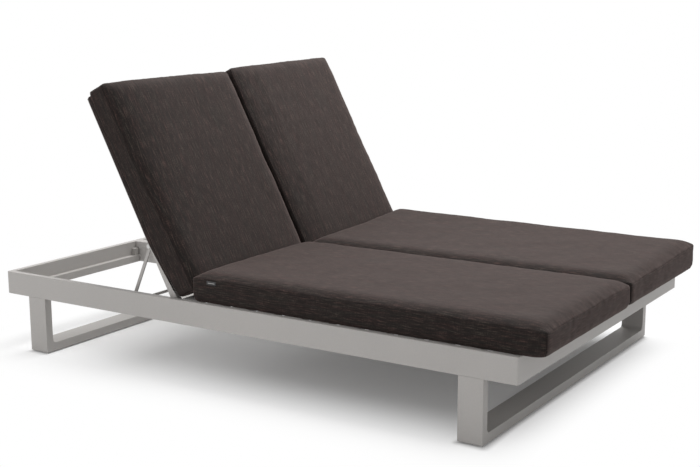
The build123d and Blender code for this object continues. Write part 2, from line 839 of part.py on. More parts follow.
for side in bays:
    towards_rail = outward(side, "outer")
    seat_sheet = Plane(origin=(towards_rail * cushion_x, 0, rail_top + rest_gap))
    keep(
        make_cushion(seat_sheet, seat_front_y, seat_rear_y, seat_cushion_height),
        f"{side}_seat_cushion",
    )
    raised = back_plane(side, cushion_base)
    back_sheet = Plane(
        origin=raised.from_local_coords(Vector(-towards_rail * cushion_shift, 0, 0)),
        x_dir=raised.x_dir,
        z_dir=raised.z_dir,
    )
    keep(
        make_cushion(back_sheet, back_cushion_start, back_cushion_end, back_cushion_height),
        f"{side}_back_cushion",
    )

print("prop's turn for each degree of the backrest:", -1 - arm_turn_ratio)
print("prop's pins and arm length:", lug_point(back_angle), arm_length)
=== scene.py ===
import json
import math
import bpy
from mathutils import Euler, Matrix, Vector


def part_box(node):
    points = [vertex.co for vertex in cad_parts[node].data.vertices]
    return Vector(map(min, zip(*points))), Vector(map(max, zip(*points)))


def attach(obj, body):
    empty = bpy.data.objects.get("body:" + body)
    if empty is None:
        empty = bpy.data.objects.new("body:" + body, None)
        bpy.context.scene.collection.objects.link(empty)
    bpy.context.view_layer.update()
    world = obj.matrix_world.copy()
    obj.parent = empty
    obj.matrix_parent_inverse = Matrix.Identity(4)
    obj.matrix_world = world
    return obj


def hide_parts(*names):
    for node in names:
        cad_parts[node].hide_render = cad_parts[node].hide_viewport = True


# Double chaise lounger, in metres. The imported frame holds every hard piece; the four cushions and
# the tag are made here. X runs across, Y from the foot end to the head end, Z up.
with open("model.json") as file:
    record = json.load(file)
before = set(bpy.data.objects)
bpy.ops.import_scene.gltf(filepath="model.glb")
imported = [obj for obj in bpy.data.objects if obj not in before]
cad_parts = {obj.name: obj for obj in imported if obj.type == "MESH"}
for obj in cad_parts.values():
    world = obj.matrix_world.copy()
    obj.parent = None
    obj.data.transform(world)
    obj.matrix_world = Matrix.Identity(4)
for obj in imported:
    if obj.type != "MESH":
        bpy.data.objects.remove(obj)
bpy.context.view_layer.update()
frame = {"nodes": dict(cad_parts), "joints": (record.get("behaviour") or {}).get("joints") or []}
bpy.ops.object.select_all(action="DESELECT")
scene = bpy.context.scene
scene.view_settings.view_transform = "Standard"

# Camera
# It stands to the right of the foot end at chest height, and looks over the near side rail towards
# the left backrest. Its lens and sensor are in millimetres.
camera_place = Vector((-3.587675, -2.299215, 1.247536))
camera_heading = math.radians(-57.31993)
camera_dip = math.radians(-11.09876)
camera_roll = math.radians(-0.18199)
camera_lens = 62.6423
camera_sensor = 36
camera_reach = 60
camera_data = bpy.data.cameras.new("camera")
camera_data.lens = camera_lens
camera_data.sensor_width = camera_sensor
camera_data.clip_end = camera_reach
camera = bpy.data.objects.new("camera", camera_data)
scene.collection.objects.link(camera)
aim = Euler((math.pi / 2 + camera_dip, 0, camera_heading)).to_matrix()
aim = aim @ Matrix.Rotation(camera_roll, 3, "Z")
camera.matrix_world = Matrix.Translation(camera_place) @ aim.to_4x4()
scene.camera = camera

# Studio floor
# A seamless pale floor that keeps the lounger's soft shadow, and the contact shadow close around
# the leg runners. Further out it fades into a plain white that only the camera and reflections see.
floor_size = 40
floor_colour = (0.88, 0.88, 0.88, 1)
floor_glow = 0.06
white_strength = 1
shadow_middle = 0.1
shadow_full = {"X": 0.40, "Y": 0.84}
shadow_end = {"X": 0.92, "Y": 1.13}
contact_reach = 0.035
bpy.ops.mesh.primitive_plane_add(size=floor_size, location=(0, 0, 0))
floor = bpy.context.object
floor.name = "floor"


def empty_material(name):
    """A material whose node tree is empty."""
    material = bpy.data.materials.new(name)
    material.use_nodes = True
    material.node_tree.nodes.clear()
    return material


def add_node(tree, kind, inputs=None, **settings):
    """A node with its settings. Each input takes a plain value or the output that feeds it."""
    node = tree.nodes.new(kind)
    for name, value in settings.items():
        setattr(node, name, value)
    for name, value in (inputs or {}).items():
        if isinstance(value, bpy.types.NodeSocket):
            tree.links.new(value, node.inputs[name])
        else:
            node.inputs[name].default_value = value
    return node


def math_node(tree, operation, *values):
    """The result of a sum, a product or the like of numbers or outputs."""
    inputs = dict(enumerate(values))
    return add_node(tree, "ShaderNodeMath", inputs, operation=operation).outputs[0]


def vector_node(tree, operation, *values):
    """The same for vectors, given as a whole node: a length has an output of its own."""
    return add_node(tree, "ShaderNodeVectorMath", dict(enumerate(values)), operation=operation)


def ranged(tree, value, result, limits=(0, 1), **settings):
    """A value between two limits, carried over to a range of results."""
    inputs = {"Value": value, "From Min": limits[0], "From Max": limits[1]}
    inputs.update({"To Min": result[0], "To Max": result[1]})
    return add_node(tree, "ShaderNodeMapRange", inputs, **settings).outputs[0]


def seen_directly(tree):
    """1 for the camera and for what reflections and glass show, 0 for light on the object."""
    path = add_node(tree, "ShaderNodeLightPath").outputs
    either = math_node(tree, "MAXIMUM", path["Is Camera Ray"], path["Is Glossy Ray"])
    return math_node(tree, "MAXIMUM", either, path["Is Transmission Ray"])


floor_material = empty_material("studio_floor")
tree = floor_material.node_tree
place = add_node(tree, "ShaderNodeTexCoord").outputs["Object"]
middle_at = {"Vector": place, "Location": (0, -shadow_middle, 0)}
centred = add_node(tree, "ShaderNodeMapping", middle_at)
parts = add_node(tree, "ShaderNodeSeparateXYZ", {0: centred.outputs[0]}).outputs
kept = []
for axis in ("X", "Y"):
    aside = math_node(tree, "ABSOLUTE", parts[axis])
    limits = (shadow_full[axis], shadow_end[axis])
    smooth = {"result": (1, 0), "limits": limits, "interpolation_type": "SMOOTHSTEP"}
    kept.append(ranged(tree, aside, **smooth))
shadow_kept = math_node(tree, "MULTIPLY", *kept)
for leg in ("head", "foot"):
    low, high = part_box(f"{leg}_leg_runner")
    middle = ((low.x + high.x) / 2, (low.y + high.y) / 2, 0)
    half = ((high.x - low.x) / 2, (high.y - low.y) / 2, 0)
    aside = vector_node(tree, "SUBTRACT", place, middle).outputs[0]
    aside = vector_node(tree, "ABSOLUTE", aside).outputs[0]
    beyond = vector_node(tree, "SUBTRACT", aside, half).outputs[0]
    beyond = vector_node(tree, "MAXIMUM", beyond, (0, 0, 0)).outputs[0]
    distance = vector_node(tree, "LENGTH", beyond).outputs["Value"]
    contact = ranged(tree, distance, result=(1, 0), limits=(0, contact_reach))
    shadow_kept = math_node(tree, "MAXIMUM", shadow_kept, contact)
seen = seen_directly(tree)
diffuse = add_node(tree, "ShaderNodeBsdfDiffuse", {"Color": floor_colour})
glow_level = math_node(tree, "MULTIPLY", seen, floor_glow)
glow = add_node(tree, "ShaderNodeEmission", {"Strength": glow_level})
lit = add_node(tree, "ShaderNodeAddShader", {0: diffuse.outputs[0], 1: glow.outputs[0]})
plain = add_node(tree, "ShaderNodeEmission", {"Strength": white_strength})
plain_share = math_node(tree, "MULTIPLY", math_node(tree, "SUBTRACT", 1, shadow_kept), seen)
shaders = {0: plain_share, 1: lit.outputs[0], 2: plain.outputs[0]}
floor_mix = add_node(tree, "ShaderNodeMixShader", shaders)
add_node(tree, "ShaderNodeOutputMaterial", {"Surface": floor_mix.outputs[0]})
floor.data.materials.append(floor_material)

# Studio light
# An even white room, a wide soft box overhead that stands to the left of the middle, and a weak
# one low on the right, near the head end, for the sides of the cushions and rails.
room_level = 0.50
white = (1, 1, 1, 1)
world = bpy.data.worlds.new("studio_room")
scene.world = world
world.use_nodes = True
tree = world.node_tree
tree.nodes.clear()
room = add_node(tree, "ShaderNodeBackground", {"Color": white, "Strength": room_level})
backdrop = add_node(tree, "ShaderNodeBackground", {"Color": white, "Strength": white_strength})
shaders = {0: seen_directly(tree), 1: room.outputs[0], 2: backdrop.outputs[0]}
world_mix = add_node(tree, "ShaderNodeMixShader", shaders)
add_node(tree, "ShaderNodeOutputWorld", {"Surface": world_mix.outputs[0]})


def soft_box(name, place, target, width, height, power):
    """A rectangular area lamp that faces a target."""
    lamp = bpy.data.lights.new(name, "AREA")
    lamp.shape = "RECTANGLE"
    lamp.size = width
    lamp.size_y = height
    lamp.energy = power
    box = bpy.data.objects.new(name, lamp)
    scene.collection.objects.link(box)
    facing = (Vector(target) - Vector(place)).to_track_quat("-Z", "Y")
    box.matrix_world = Matrix.Translation(place) @ facing.to_matrix().to_4x4()


soft_box(
    "overhead_box", place=(1.2, 0, 3.5), target=(0, 0.1, 0.2), width=1.8, height=3.6, power=151
)
soft_box(
    "near_side_box", place=(-4.2, 2.2, 1.7), target=(0, 0.2, 0.3), width=2.4, height=2.4, power=36
)

# Powder-coated aluminium
# Rails, beam, legs, racks, slats, props and backrest frames are aluminium tube and bar, coated in a
# matt warm grey with a fine orange-peel skin, a little uneven in tone where dust settles.
coat_colour = (0.430, 0.412, 0.396)
coat_dust_scale = 3.5
coat_dust_shades = (0.93, 1.05)
coat_peel_scale = 900
coat_speck_limits = (0.3, 0.7)
coat_speck_shades = (0.96, 1.03)
coat_roughness = (0.46, 0.6)
coat_specular = 0.4
coat_bump = 0.12
coat_bump_depth = 0.0004


def noise(tree, vector, scale, detail):
    """Smooth noise from 0 to 1, finer at a larger scale."""
    inputs = {"Vector": vector, "Scale": scale, "Detail": detail}
    return add_node(tree, "ShaderNodeTexNoise", inputs).outputs["Fac"]


def shaded(tree, colour, factor):
    """A colour made darker or lighter by a factor."""
    inputs = {0: colour, "Scale": factor}
    return add_node(tree, "ShaderNodeVectorMath", inputs, operation="SCALE").outputs[0]


def bumped(tree, height, strength, depth):
    """The direction of a surface that a height raises."""
    inputs = {"Height": height, "Strength": strength, "Distance": depth}
    return add_node(tree, "ShaderNodeBump", inputs).outputs[0]


def finish_surface(tree, inputs):
    """The shader of a surface and the output of its material."""
    shader = add_node(tree, "ShaderNodeBsdfPrincipled", inputs)
    add_node(tree, "ShaderNodeOutputMaterial", {"Surface": shader.outputs[0]})


def finish_nodes(names, material):
    """Gives carried-over nodes a material."""
    for name in names:
        node = frame["nodes"][name]
        node.data.materials.clear()
        node.data.materials.append(material)


coat = empty_material("powder_coat")
tree = coat.node_tree
place = add_node(tree, "ShaderNodeTexCoord").outputs["Object"]
dust = noise(tree, place, coat_dust_scale, detail=3)
speck = noise(tree, place, coat_peel_scale / 2, detail=2)
peel = noise(tree, place, coat_peel_scale, detail=1)
dust_shade = ranged(tree, dust, coat_dust_shades)
speck_shade = ranged(tree, speck, coat_speck_shades, coat_speck_limits)
finish_surface(tree, {
    "Base Color": shaded(tree, coat_colour, math_node(tree, "MULTIPLY", dust_shade, speck_shade)),
    "Roughness": ranged(tree, dust, coat_roughness),
    "Specular IOR Level": coat_specular,
    "Normal": bumped(tree, peel, coat_bump, coat_bump_depth),
})
sides = ("right", "left")
ends = ("outer", "inner")
coated = ["centre_beam", "foot_rail", "head_rail", "right_rail", "left_rail", "leg_tabs"]
for leg in ("head", "foot"):
    coated += [f"{leg}_leg_{piece}" for piece in ("right_post", "left_post", "runner")]
for side in sides:
    coated += [f"{side}_{piece}" for piece in ("head_ledge", "seat_slats", "back_slats")]
    coated += [f"{side}_back_{tube}_tube" for tube in ("outer", "inner", "top", "bottom")]
    coated += [f"{side}_prop_{piece}" for piece in ("lugs", "rod")]
    for end in ends:
        coated += [f"{side}_{end}_rack", f"{side}_{end}_seat_angle", f"{side}_prop_{end}_arm"]
finish_nodes(coated, coat)

# Bolts, screws, pins and washers
# Plain stainless steel, turned and lightly brushed. The bolts and screws go in from inside the
# bays, and the rivet nuts that take the bolts sit in the walls of the tubes.
steel_colour = (0.52, 0.52, 0.51)
steel_brush = (40, 700, 700)
steel_shades = (0.85, 1.1)
steel_roughness = (0.24, 0.45)
steel_bump = 0.1
steel_bump_depth = 0.0002
steel = empty_material("stainless_steel")
tree = steel.node_tree
place = add_node(tree, "ShaderNodeTexCoord").outputs["Object"]
brushed = add_node(tree, "ShaderNodeMapping", {"Vector": place, "Scale": steel_brush})
scratches = noise(tree, brushed.outputs[0], scale=1, detail=4)
finish_surface(tree, {
    "Base Color": shaded(tree, steel_colour, ranged(tree, scratches, steel_shades)),
    "Metallic": 1,
    "Roughness": ranged(tree, scratches, steel_roughness),
    "Normal": bumped(tree, scratches, steel_bump, steel_bump_depth),
})
fasteners = ["leg_bolts", "rivet_nuts", "rack_screws", "slat_screws", "hinge_bolts"]
fasteners += [f"{side}_prop_{piece}" for side in sides for piece in ("pins", "washers")]
finish_nodes(fasteners, steel)

# Glides, ledge pads and hinge bushes
# Moulded black rubber under the legs, grey rubber under the folded backrests and grey nylon in the
# hinges; all have a fine moulded grain.
mould_grain_scale = 350
mould_grain_limits = (0.3, 0.7)
mould_bump = 0.25
mould_bump_depth = 0.0003


def ramped(tree, value, stops):
    """Colours that run from stop to stop, each stop a position and its colour."""
    node = add_node(tree, "ShaderNodeValToRGB", {"Fac": value})
    ramp = node.color_ramp
    ramp.elements[0].position, ramp.elements[0].color = stops[0]
    ramp.elements[1].position, ramp.elements[1].color = stops[-1]
    for position, colour in stops[1:-1]:
        ramp.elements.new(position).color = colour
    return node.outputs[0]


def moulded(name, dark, light, roughness):
    """Moulded rubber or plastic: a grainy colour between two tones."""
    material = empty_material(name)
    tree = material.node_tree
    place = add_node(tree, "ShaderNodeTexCoord").outputs["Object"]
    grain = noise(tree, place, mould_grain_scale, detail=3)
    first, last = mould_grain_limits
    finish_surface(tree, {
        "Base Color": ramped(tree, grain, ((first, dark), (last, light))),
        "Roughness": roughness,
        "Normal": bumped(tree, grain, mould_bump, mould_bump_depth),
    })
    return material


black_rubber = moulded(
    "black_rubber", dark=(0.012, 0.012, 0.012, 1), light=(0.03, 0.03, 0.03, 1), roughness=0.75
)
grey_rubber = moulded(
    "grey_rubber", dark=(0.34, 0.33, 0.31, 1), light=(0.42, 0.40, 0.38, 1), roughness=0.7
)
grey_nylon = moulded(
    "grey_nylon", dark=(0.3, 0.3, 0.29, 1), light=(0.42, 0.42, 0.41, 1), roughness=0.5
)
finish_nodes(["glides"], black_rubber)
finish_nodes(["ledge_pads"], grey_rubber)
finish_nodes([f"{side}_hinge_bushes" for side in sides], grey_nylon)

# Cushion fabric
# A dark brown melange weave of spun outdoor yarn: uneven slubs run along the panel, finer ones
# across it, over a plain weave, with a soft bloom where it is seen at a low angle.
fabric_tones = (
    (0.00, (0.0030, 0.0021, 0.0018, 1)),
    (0.42, (0.0085, 0.0057, 0.0050, 1)),
    (0.60, (0.0147, 0.0099, 0.0086, 1)),
    (1.00, (0.046, 0.032, 0.028, 1)),
)
# The width and length of each kind of streak, its detail and its share of the tone.
fabric_streaks = {
    "long slubs": (0.0034, 0.04, 3, 0.56),
    "cross slubs": (0.028, 0.0034, 3, 0.14),
    "blotches": (0.09, 0.16, 2, 0.06),
    "grain": (0.0028, 0.0045, 1, 0.24),
}
streak_limits = (0.38, 0.62)
hue_width = 0.012
hue_length = 0.12
hues = ((0.38, (1.12, 0.94, 0.92, 1)), (0.62, (0.90, 1.04, 0.98, 1)))
# How far the colour is darkened along the seam line: painted shade for the seam grooves.
seam_painted_shade_amount = 0.3
yarn_pitch = 0.0016
yarn_wander = 0.6
weave_height_share = 0.7
slub_height_share = 0.9
fabric_bump = 0.4
fabric_bump_depth = 0.00025
fabric_roughness = 0.9
fabric_specular = 0.25
bloom = 0.2
bloom_roughness = 0.5
bloom_tint = (0.80, 0.59, 0.55, 1)


def streaks(tree, vector, width, length, detail):
    """Noise drawn out into streaks, from their width and length on the cloth."""
    inputs = {"Vector": vector, "Scale": (1 / width, 1 / length, 1)}
    drawn_out = add_node(tree, "ShaderNodeMapping", inputs).outputs[0]
    return noise(tree, drawn_out, scale=1, detail=detail)


def ridges(tree, vector, direction, pitch, wander, detail):
    """Soft ridges a pitch apart that wander a little. At a scale of 1 they are pi / 10 apart."""
    inputs = {"Vector": vector, "Scale": math.pi / 10 / pitch}
    inputs.update({"Distortion": wander, "Detail": detail})
    return add_node(tree, "ShaderNodeTexWave", inputs, bands_direction=direction).outputs["Fac"]


fabric = empty_material("melange_weave")
tree = fabric.node_tree
threads = add_node(tree, "ShaderNodeUVMap", uv_map="cloth").outputs[0]
slubs = 0
for width, length, detail, share in fabric_streaks.values():
    layer = streaks(tree, threads, width, length, detail)
    slubs = math_node(tree, "ADD", slubs, math_node(tree, "MULTIPLY", layer, share))
spread = ranged(tree, slubs, result=(0, 1), limits=streak_limits)
tones = ramped(tree, spread, fabric_tones)
hue_streaks = streaks(tree, threads, hue_width, hue_length, detail=2)
dyed = vector_node(tree, "MULTIPLY", tones, ramped(tree, hue_streaks, hues)).outputs[0]
# The seam line that the cushions carry darkens the colour there: painted shade in the seam grooves.
sewn = add_node(tree, "ShaderNodeAttribute", attribute_name="sewn").outputs["Fac"]
seam_painted_shade_factor = math_node(tree, "SUBTRACT", 1, math_node(tree, "MULTIPLY", sewn, seam_painted_shade_amount))
warp, weft = [
    ridges(tree, threads, direction, yarn_pitch, yarn_wander, detail=1) for direction in ("X", "Y")
]
weave = math_node(tree, "MULTIPLY", warp, weft)
weave_height = math_node(tree, "MULTIPLY", weave, weave_height_share)
slub_height = math_node(tree, "MULTIPLY", slubs, slub_height_share)
height = math_node(tree, "ADD", weave_height, slub_height)
finish_surface(tree, {
    "Base Color": shaded(tree, dyed, seam_painted_shade_factor),
    "Roughness": fabric_roughness,
    "Specular IOR Level": fabric_specular,
    "Sheen Weight": bloom,
    "Sheen Roughness": bloom_roughness,
    "Sheen Tint": bloom_tint,
    "Normal": bumped(tree, height, fabric_bump, fabric_bump_depth),
})

# Seat cushions
# Boxes of foam in sewn covers, loose on the seat slats. A top and a bottom panel and four side
# bands meet in seams; the foam pushes the panels out, and the foot end hangs over the foot rail.
seat_height = 0.075
corner_radius = 0.014
seam_side = 0.003
seam_land = 0.009
seam_depth = 0.002
cover_cell = 0.0135
side_inset = 0.003
pucker_reach = 0.05
touch = 1e-5
bulge_cap = 0.006
draw_in_cap = 0.0025
top_cap = 0.023
low_rise_share = 0.3
seam_rise_share = 0.35
foam_frames = 20
foam_and_cover = {
    "quality": 5,
    "mass": 0.3,
    "tension_stiffness": 18,
    "compression_stiffness": 18,
    "shear_stiffness": 8,
    "bending_stiffness": 1.5,
    "use_pressure": True,
    "uniform_pressure_force": 8,
}
swell_size = 0.14
swell_height = 0.0038
pucker_size = 0.028
pucker_height = 0.0035
seed_step = (1.7, 0.9, 0.4)


def nearness(distance, reach):
    """1 at an edge, falling evenly to 0 at a reach from it."""
    return max(0, 1 - distance / reach)


def cut_positions(length):
    """Places of the cuts across a panel, closer together beside its two seams."""
    half = length / 2
    inner = half - seam_land
    count = max(2, round(2 * inner / cover_cell))
    middle = [-inner + 2 * inner * step / count for step in range(count + 1)]
    return [seam_side - half] + middle + [half - seam_side]


def cut_all(positions, normal):
    """Cuts the whole mesh in edit mode by parallel planes."""
    for position in positions:
        bpy.ops.mesh.select_all(action="SELECT")
        bpy.ops.mesh.bisect(plane_co=Vector(normal) * position, plane_no=normal)


def bare_cloth(mesh):
    """An empty map of the mesh on its cloth, in metres."""
    for layer in list(mesh.uv_layers):
        mesh.uv_layers.remove(layer)
    return mesh.uv_layers.new(name="cloth")


def sewn_box(name, width, length, height):
    """A box in cushion shape, centred on X and Y and standing on Z 0, with its seams marked."""
    size = (width, length, height)
    bpy.ops.mesh.primitive_cube_add(size=1, location=(0, 0, height / 2), scale=size)
    piece = bpy.context.object
    piece.name = name
    piece.data.name = name
    bpy.ops.object.transform_apply(location=True, rotation=True, scale=True)
    bpy.ops.object.mode_set(mode="EDIT")
    cut_all(cut_positions(width), (1, 0, 0))
    cut_all(cut_positions(length), (0, 1, 0))
    rows = [height / 2 + place for place in cut_positions(height) if abs(place) < height / 2]
    cut_all(rows, (0, 0, 1))
    bpy.ops.object.mode_set(mode="OBJECT")
    mesh = piece.data
    cloth = bare_cloth(mesh)
    for polygon in mesh.polygons:
        facing = max(range(3), key=lambda axis: abs(polygon.normal[axis]))
        for loop in polygon.loop_indices:
            x, y, z = mesh.vertices[mesh.loops[loop].vertex_index].co
            cloth.data[loop].uv = ((z + width, y), (z - width, x), (x, y))[facing]
    seam = piece.vertex_groups.new(name="seam")
    beside = piece.vertex_groups.new(name="beside_seam")
    for vertex in mesh.vertices:
        gaps = sorted((
            width / 2 - abs(vertex.co.x),
            length / 2 - abs(vertex.co.y),
            height / 2 - abs(vertex.co.z - height / 2),
        ))
        if gaps[1] < touch:
            seam.add([vertex.index], 1, "REPLACE")
        beside.add([vertex.index], nearness(gaps[1], pucker_reach), "REPLACE")
    for vertex in mesh.vertices:
        across = abs(vertex.co.x) - (width / 2 - corner_radius)
        along = abs(vertex.co.y) - (length / 2 - corner_radius)
        if across > 0 and along > 0:
            pull = max(across, along) / math.hypot(across, along)
            vertex.co.x = math.copysign(width / 2 - corner_radius + across * pull, vertex.co.x)
            vertex.co.y = math.copysign(length / 2 - corner_radius + along * pull, vertex.co.y)
    mesh.update()
    return piece


def inflate(piece, height):
    """Lets the foam push the cover out, then limits how far each point has gone."""
    seams = piece.vertex_groups["seam"].index
    flat = [vertex.co.copy() for vertex in piece.data.vertices]
    bpy.ops.object.modifier_add(type="CLOTH")
    cloth = piece.modifiers[-1]
    for name, value in foam_and_cover.items():
        setattr(cloth.settings, name, value)
    cloth.settings.effector_weights.gravity = 0
    cloth.point_cache.frame_start = 1
    cloth.point_cache.frame_end = foam_frames
    for number in range(1, foam_frames + 1):
        scene.frame_set(number)
    blown = piece.evaluated_get(bpy.context.evaluated_depsgraph_get())
    moved = [vertex.co.copy() for vertex in blown.to_mesh().vertices]
    blown.to_mesh_clear()
    bpy.ops.object.modifier_remove(modifier=cloth.name)
    scene.frame_set(1)
    for vertex, start, end in zip(piece.data.vertices, flat, moved):
        shift = end - start
        for axis in (0, 1):
            cap = bulge_cap if shift[axis] * start[axis] > 0 else draw_in_cap
            shift[axis] = cap * math.tanh(shift[axis] / cap)
        if start.z < touch:
            shift.z = 0
        elif start.z < height / 2:
            shift.z *= low_rise_share
        shift.z = top_cap * math.tanh(shift.z / top_cap)
        if any(group.group == seams for group in vertex.groups):
            shift.z *= seam_rise_share
        vertex.co = start + shift


def finish_cushion(piece, seed):
    """Smooths the cover, sinks its seams and gives it the small unevenness of sewn cloth."""
    bpy.context.view_layer.objects.active = piece
    wander = bpy.data.objects.new(f"{piece.name}_wander", None)
    wander.location = [seed * step for step in seed_step]
    scene.collection.objects.link(wander)
    smooth = piece.modifiers.new("smooth", "SUBSURF")
    smooth.levels = 1
    smooth.render_levels = 1
    for name, size, height, group in (
        ("swell", swell_size, swell_height, ""),
        ("pucker", pucker_size, pucker_height, "beside_seam"),
    ):
        clouds = bpy.data.textures.new(f"{piece.name}_{name}", "CLOUDS")
        clouds.noise_scale = size
        displace = piece.modifiers.new(name, "DISPLACE")
        displace.texture = clouds
        displace.texture_coords = "OBJECT"
        displace.texture_coords_object = wander
        displace.strength = height
        displace.mid_level = 0.5
        displace.vertex_group = group
    groove = piece.modifiers.new("groove", "DISPLACE")
    groove.strength = -seam_depth
    groove.mid_level = 0
    groove.vertex_group = "seam"
    for modifier in ("smooth", "swell", "pucker", "groove"):
        bpy.ops.object.modifier_apply(modifier=modifier)
    # The seam line is kept on the cover, and the fabric paints shade along it.
    sewn_line = piece.data.attributes.new("sewn", "FLOAT", "POINT")
    seams = piece.vertex_groups["seam"].index
    for vertex in piece.data.vertices:
        held = [group.weight for group in vertex.groups if group.group == seams]
        sewn_line.data[vertex.index].value = held[0] if held else 0
    bpy.data.objects.remove(wander)
    bpy.ops.object.shade_smooth()
    piece.data.materials.clear()
    piece.data.materials.append(fabric)


def make_cushion(name, width, length, height, seed):
    """A finished cushion, lying flat at the origin."""
    bpy.ops.object.select_all(action="DESELECT")
    piece = sewn_box(name, width - 2 * side_inset, length, height)
    inflate(piece, height)
    finish_cushion(piece, seed)
    return piece


# The two cushions differ a little in how they lie and how full they are.
outward = {"right": -1, "left": 1}
foot_overhang = {"right": 0.015, "left": 0.010}
seat_rear_spare = {"right": 0.012, "left": 0.007}
seat_swell = {"right": 0, "left": 0.13}
seat_head_swell = {"right": 0, "left": 0.10}
seat_end_swell = {"right": 0, "left": 0.09}
seat_end_reach = 0.14
seat_base_draw = 0.006
seat_base_height = 0.014
seat_flat_rim = 0.003
seat_base_lift = 0.008
seat_hanging_reach = 0.06
for seed, side in enumerate(sides, start=1):
    low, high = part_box(f"{side}_seat_cushion")
    low.y -= foot_overhang[side]
    high.y += seat_rear_spare[side]
    width = high.x - low.x
    length = high.y - low.y
    seat = make_cushion(f"{side}_seat_pad", width, length, seat_height, seed)
    for vertex in seat.data.vertices:
        point = vertex.co
        across = 0.5 + point.x * outward[side] / width
        along = 0.5 + point.y / length
        end = nearness(length / 2 - abs(point.y), seat_end_reach)
        swell = seat_swell[side] + seat_head_swell[side] * along
        swell += seat_end_swell[side] * end * end
        point.z *= 1 + swell * across * across
        draw = seat_base_draw * nearness(point.z, seat_base_height)
        for axis, half in enumerate((width / 2, length / 2)):
            point[axis] -= draw * max(-1, min(1, point[axis] / half))
        if point.z < seat_flat_rim:
            point.z = 0
        hanging = nearness(point.y + length / 2, seat_hanging_reach)
        point.z += seat_base_lift * hanging * hanging * nearness(point.z, seat_height)
    middle = (low + high) / 2
    seat.data.transform(Matrix.Translation((middle.x, middle.y, low.z)))
    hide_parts(f"{side}_seat_cushion")
    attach(seat, "frame")

# Back cushions
# Cushions of the same make that lie on the back slats and lean back with them. A hemmed strip of
# the cover is sewn on under each, and hugs the side tubes and the top tube.
side_tube_width = 0.020
hood_thickness = 0.003
hood_gap = 0.0006
hood_start = 0.03
hood_full = 0.2
hood_least_share = 0.04
hood_high = 0.0145
hood_low = -0.0070
hood_corner = 0.007
hood_corner_steps = 4
hood_corner_lift = 0.003
hood_corner_reach = 0.03
hood_cuts = 36
hood_turn_share = 0.7
side_strip_start = 1
hem_width = 0.0009
hem_steps = 2
smooth_angle = math.radians(50)
back_top = 0.733
hood_top = back_top + hood_thickness + hood_gap


def add_hood(piece, low_x, high_x):
    """Sews a hemmed strip of the cover round the tubes that hold slats from low_x to high_x."""
    beside = side_tube_width + hood_gap + hood_thickness
    low = Vector((low_x - beside, hood_start, hood_low))
    high = Vector((high_x + beside, hood_top, hood_high))
    bpy.ops.object.select_all(action="DESELECT")
    bpy.ops.mesh.primitive_cube_add(size=1, location=(low + high) / 2, scale=high - low)
    hood = bpy.context.object
    mesh = hood.data
    bpy.ops.object.transform_apply(location=True, rotation=True, scale=True)
    bpy.ops.object.mode_set(mode="EDIT")
    bpy.ops.mesh.select_mode(type="FACE")
    bpy.ops.mesh.select_all(action="DESELECT")
    bpy.ops.object.mode_set(mode="OBJECT")
    for face in mesh.polygons:
        face.select = round(abs(face.normal.z)) == 1 or round(face.normal.y) == -1
    bpy.ops.object.mode_set(mode="EDIT")
    bpy.ops.mesh.delete(type="FACE")
    bpy.ops.object.mode_set(mode="OBJECT")
    for edge in mesh.edges:
        first, last = [mesh.vertices[number].co for number in edge.vertices]
        edge.select = min(first.y, last.y) > hood_top - touch and first.x == last.x
    bpy.ops.object.mode_set(mode="EDIT")
    bpy.ops.mesh.select_mode(type="EDGE")
    bpy.ops.mesh.bevel(offset=hood_corner, segments=hood_corner_steps)
    length = hood_top - hood_start
    cut_all([hood_start + length * number / hood_cuts for number in range(1, hood_cuts)], (0, 1, 0))
    bpy.ops.object.mode_set(mode="OBJECT")
    for vertex in mesh.vertices:
        if vertex.co.z < 0:
            share = (vertex.co.y - hood_start) / (hood_full - hood_start)
            drop = (hood_high - hood_low) * min(1, max(hood_least_share, share))
            corner = nearness(hood_top - vertex.co.y, hood_corner_reach)
            vertex.co.z = hood_high - drop + hood_corner_lift * corner * corner
    wall = hood.modifiers.new("wall", "SOLIDIFY")
    wall.thickness = hood_thickness
    wall.offset = -1
    hem = hood.modifiers.new("hem", "BEVEL")
    hem.width = hem_width
    hem.segments = hem_steps
    for modifier in ("wall", "hem"):
        bpy.ops.object.modifier_apply(modifier=modifier)
    bpy.ops.object.shade_smooth_by_angle(angle=smooth_angle)
    mesh = hood.data
    cloth = bare_cloth(mesh)
    for polygon in mesh.polygons:
        at_head = abs(polygon.normal.y) > hood_turn_share
        for loop in polygon.loop_indices:
            x, y, z = mesh.vertices[mesh.loops[loop].vertex_index].co
            cloth.data[loop].uv = (z, x) if at_head else (z + side_strip_start, y)
    mesh.materials.append(fabric)
    bpy.ops.object.select_all(action="DESELECT")
    hood.select_set(True)
    piece.select_set(True)
    bpy.context.view_layer.objects.active = piece
    bpy.ops.object.join()


# These two also differ a little, in how their edges sag, crown and spread.
back_height = 0.087
back_start = 0.008
back_end = 0.750
back_rise = 0.0128
back_foot_spare = 0.010
back_foot_share = 0.25
back_lift = 0.016
back_lift_length = 0.17
outer_edge_sag = {"right": 0.28, "left": 0.02}
outer_edge_reach = 0.2
sag_start = 0.08
sag_length = 0.4
outer_spare = {"right": 0, "left": 0.004}
inner_edge_lift = {"right": -0.05, "left": 0}
inner_edge_reach = 0.08
inner_spare = {"right": -0.003, "left": 0.003}
inner_crown_share = {"right": 1, "left": 0.45}
inner_crown_reach = 0.13
head_spare = {"right": -0.003, "left": 0.009}
head_outer_spare = {"right": 0, "left": 0.014}
head_edge_spare = {"right": 0.006, "left": 0}
head_edge_power = 8
recline = next(joint for joint in frame["joints"] if joint["name"] == "right_recline")
hinge = Vector(recline["pos_m"])
back_angle = -math.radians(recline["range_deg"][0])
